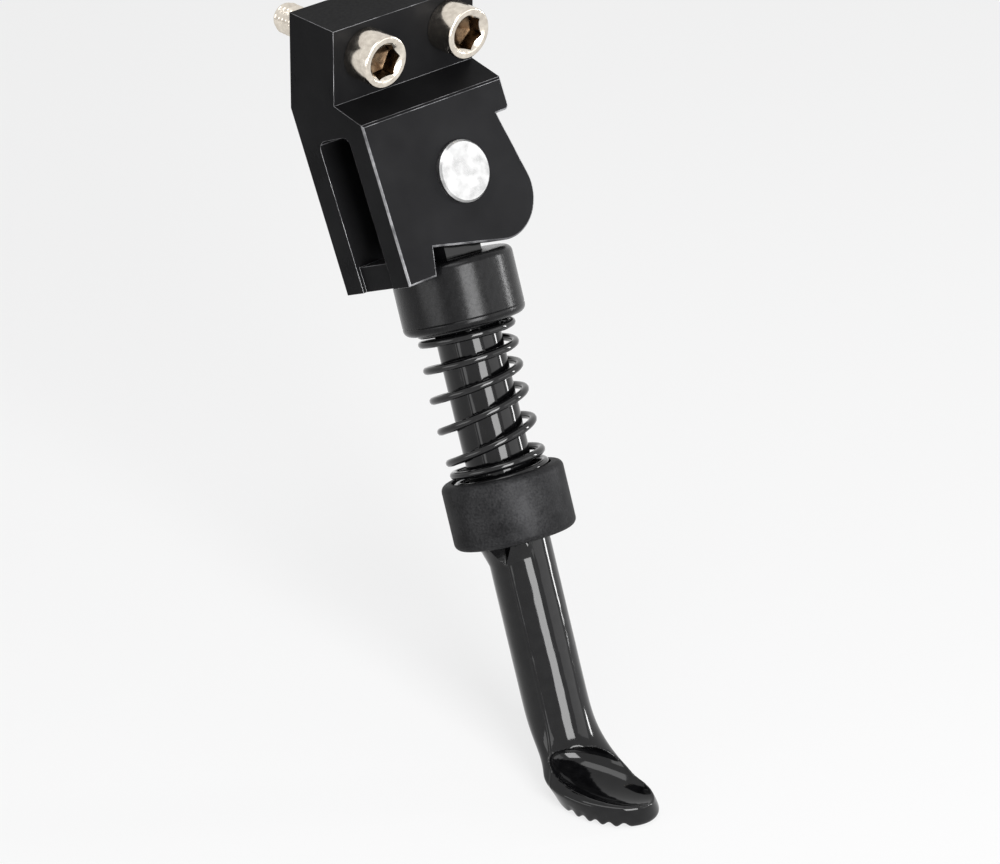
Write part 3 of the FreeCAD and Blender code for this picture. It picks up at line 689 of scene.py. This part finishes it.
def makeFoot(bar, sizes):
    # the blank is evened and softened, the scoop cut and its rim softened, then the sole is pressed
    floor = pivot.z / mm - sizes["ground"]
    turn = math.radians(sizes["turn"])
    blank = ringPiece("foot_blank", footRings(bar, sizes, floor, turn))
    evenAndSoften(blank, "forging", sizes["evenTo"], sizes["forgeSoft"])
    tool = scoopTool(sizes, floor, turn)
    cut = blank.modifiers.new("scoop", "BOOLEAN")
    cut.operation = "DIFFERENCE"
    cut.object = tool
    cut.solver = "EXACT"
    evenAndSoften(blank, "rim", sizes["evenTo"], sizes["rimSoft"])
    mesh = bpy.data.meshes.new_from_object(blank.evaluated_get(bpy.context.evaluated_depsgraph_get()))
    mesh.name = "forged_foot"
    bpy.data.objects.remove(blank)
    bpy.data.objects.remove(tool)
    pressTeeth(mesh, sizes, floor, turn)

    work = bmesh.new()
    work.from_mesh(mesh)
    fitToBar(work, bar, sizes)
    cutAcross(work, bar["footFrom"], keepAbove=False)
    work.to_mesh(mesh)
    work.free()
    return linkPiece("forged_foot", mesh, 50)


forgedBar = makeBar(barSizes)
evenLight(forgedBar)
forgedFoot = makeFoot(barSizes, footSizes)
enamel = blackEnamel("black stoving enamel", shine=0.38, parting=barSizes)
for piece in (forgedBar, forgedFoot):
    coat(piece, enamel)
    finished(piece, "leg", "stand_leg")
print("leg forged:", len(forgedFoot.data.polygons), "faces in the foot")

# cup: drawn and turned, with the tool's seam above its lower edge
cupSizes = {
    "top": -20.2, "long": 17.1, "radius": 15.45, "round": 1.9, "bore": 8.25, "seat": 12.7, "seatDeep": 4.0,
    "seamUp": 2.3, "seamWide": 0.22, "seamDeep": 0.16, "edgeBreak": 0.2, "points": 96,
}


def rubbedBlackSteel():
    # drawn steel, blackened and rubbed by handling: satin, with streaks along its axis
    material, shader = newMaterial("rubbed blackened steel", {"Metallic": 0.3, "Specular IOR Level": 0.26})
    onPiece = {"Vector": addNode(material, "ShaderNodeTexCoord").outputs["Object"]}
    turn = Vector((0, 0, 1)).rotation_difference(legUp).inverted().to_euler()
    drawn = {"Rotation": turn, "Scale": (1, 1, 0.12)}
    alongAxis = {"Vector": addNode(material, "ShaderNodeMapping", drawn, onPiece)}
    streaks = addNode(material, "ShaderNodeTexNoise", {"Scale": grains(1.1), "Detail": 5.0}, alongAxis)
    streaked = addNode(material, "ShaderNodeMapRange", spread, {"Value": streaks})
    blacks = {"data_type": "RGBA", 6: hexToLinear("#0c0c0d"), 7: hexToLinear("#161617")}
    addNode(material, "ShaderNodeMix", blacks, {0: streaked}, {"Base Color": shader})
    specks = addNode(material, "ShaderNodeTexNoise", {"Scale": grains(0.8), "Detail": 3.0}, onPiece)
    satin = {**spread, "To Min": 0.2, "To Max": 0.3}
    addNode(material, "ShaderNodeMapRange", satin, {"Value": specks}, {"Roughness": shader})
    pits = {"Distance": 0.03 * mm, "Strength": 0.5}
    addNode(material, "ShaderNodeBump", pits, {"Height": specks}, {"Normal": shader})
    return material


def makeCup(sizes):
    top = sizes["top"]
    low = top - sizes["long"]
    outer = sizes["radius"]
    corner = sizes["round"]
    edge = sizes["edgeBreak"]
    profile = [(sizes["bore"], top - edge), (sizes["bore"] + edge, top)]
    for step in range(9):
        turn = math.pi / 2 * step / 8
        profile.append((outer - corner + corner * math.sin(turn), top - corner + corner * math.cos(turn)))
    seam = low + sizes["seamUp"]
    profile += [
        (outer, seam + sizes["seamWide"]),
        (outer - sizes["seamDeep"], seam),
        (outer, seam - sizes["seamWide"]),
    ]
    for step in range(9):
        turn = math.pi / 2 * step / 8
        profile.append((outer - corner + corner * math.cos(turn), low + corner - corner * math.sin(turn)))
    deep = low + sizes["seatDeep"]
    profile += [
        (sizes["seat"] + edge, low), (sizes["seat"], low + edge), (sizes["seat"], deep),
        (sizes["bore"] + edge, deep), (sizes["bore"], deep + edge),
    ]
    rings = []
    for radius, up in profile:
        ring = []
        for k in range(sizes["points"]):
            angle = math.radians(360 * k / sizes["points"])
            ring.append(onLeg(radius * math.cos(angle), radius * math.sin(angle), up))
        rings.append(ring)
    return ringPiece("rubbed_cup", rings, closed=True, smoothBelow=32)


cup = makeCup(cupSizes)
coat(cup, rubbedBlackSteel())
finished(cup, "cup", "spring_cup")
print("cup turned")


# collar
def sinteredIron():
    # pressed and sintered iron, oiled: dull, with grains that catch the light
    material, shader = newMaterial("sintered iron", {
        "Metallic": 0.4,
        "Specular IOR Level": 0.2,
        "Specular Tint": hexToLinear("#6a6a6a"),
    })
    onPiece = {"Vector": addNode(material, "ShaderNodeTexCoord").outputs["Object"]}
    # powder grains of 0.1 mm, drawn coarser so that they show
    powder = addNode(material, "ShaderNodeTexNoise", {"Scale": grains(0.55), "Detail": 3.0}, onPiece)
    patches = addNode(material, "ShaderNodeTexNoise", {"Scale": grains(7), "Detail": 3.0}, onPiece)
    mottle = addNode(material, "ShaderNodeMath", {"operation": "MULTIPLY"}, {0: powder, 1: patches})
    mottled = addNode(material, "ShaderNodeMapRange", {"From Min": 0.12, "From Max": 0.4}, {"Value": mottle})
    irons = {"data_type": "RGBA", 6: hexToLinear("#1c1c1d"), 7: hexToLinear("#343435")}
    addNode(material, "ShaderNodeMix", irons, {0: mottled}, {"Base Color": shader})
    dull = {**spread, "To Min": 0.42, "To Max": 0.56}
    addNode(material, "ShaderNodeMapRange", dull, {"Value": powder}, {"Roughness": shader})
    pores = {"Distance": 0.06 * mm, "Strength": 0.6}
    addNode(material, "ShaderNodeBump", pores, {"Height": powder}, {"Normal": shader})
    return material


coat(nodes["spring_collar"], sinteredIron())
print("collar pressed")

# spring
springSizes = {
    "wire": 2.0,
    "wireDetail": 3,
    "radius": 11.4,
    "pointsPerHalf": 24,
    "bow": 0.8,  # the loaded spring bellies out a little, towards the first angle
    # height of the wire's middle at each half turn up from the collar, starting at the first angle
    "firstAngle": 140.75,
    "heights": [-77.9, -77.2, -76.2, -74.8, -73.2, -71.6, -70.0, -63.8, -61.9, -56.1, -54.0, -49.8,
                -46.4, -44.1, -39.8, -39.2, -37.4, -36.6, -35.5, -34.65],
}


def makeSpring(sizes):
    heights = sizes["heights"]
    last = len(heights) - 1
    perHalf = sizes["pointsPerHalf"]
    first = math.radians(sizes["firstAngle"])
    centres = []
    for index in range(last * perHalf + 1):
        half = index // perHalf
        share = index % perHalf / perHalf
        # a smooth curve through the heights at this half turn's ends and their neighbours
        before, low, high, after = [heights[min(max(half + k, 0), last)] for k in (-1, 0, 1, 2)]
        cubic = 3 * (low - high) + after - before
        square = 2 * before - 5 * low + 4 * high - after
        up = low + 0.5 * share * (high - before + share * (square + share * cubic))
        angle = math.radians(sizes["firstAngle"] + 180 * index / perHalf)
        belly = sizes["bow"] * math.sin(math.pi * index / last / perHalf) ** 3
        across = sizes["radius"] * math.cos(angle) + belly * math.cos(first)
        deep = sizes["radius"] * math.sin(angle) + belly * math.sin(first)
        centres.append(onLeg(across, deep, up))
    curve = bpy.data.curves.new("spring_line", "CURVE")
    curve.dimensions = "3D"
    curve.bevel_depth = sizes["wire"] / 2 * mm
    curve.bevel_resolution = sizes["wireDetail"]
    curve.use_fill_caps = True
    spline = curve.splines.new("POLY")
    spline.points.add(len(centres) - 1)
    for point, centre in zip(spline.points, centres):
        point.co = (*centre, 1)
    line = bpy.data.objects.new("spring_line", curve)
    bpy.context.scene.collection.objects.link(line)
    mesh = bpy.data.meshes.new_from_object(line.evaluated_get(bpy.context.evaluated_depsgraph_get()))
    for polygon in mesh.polygons:
        polygon.use_smooth = True
    spring = bpy.data.objects.new("coil_spring", mesh)
    bpy.context.scene.collection.objects.link(spring)
    bpy.data.objects.remove(line)
    return spring


spring = makeSpring(springSizes)
coat(spring, blackEnamel("enamelled spring wire", shine=0.5))
finished(spring, "leg", "return_spring")
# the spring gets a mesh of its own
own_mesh(spring)
print("spring wound")
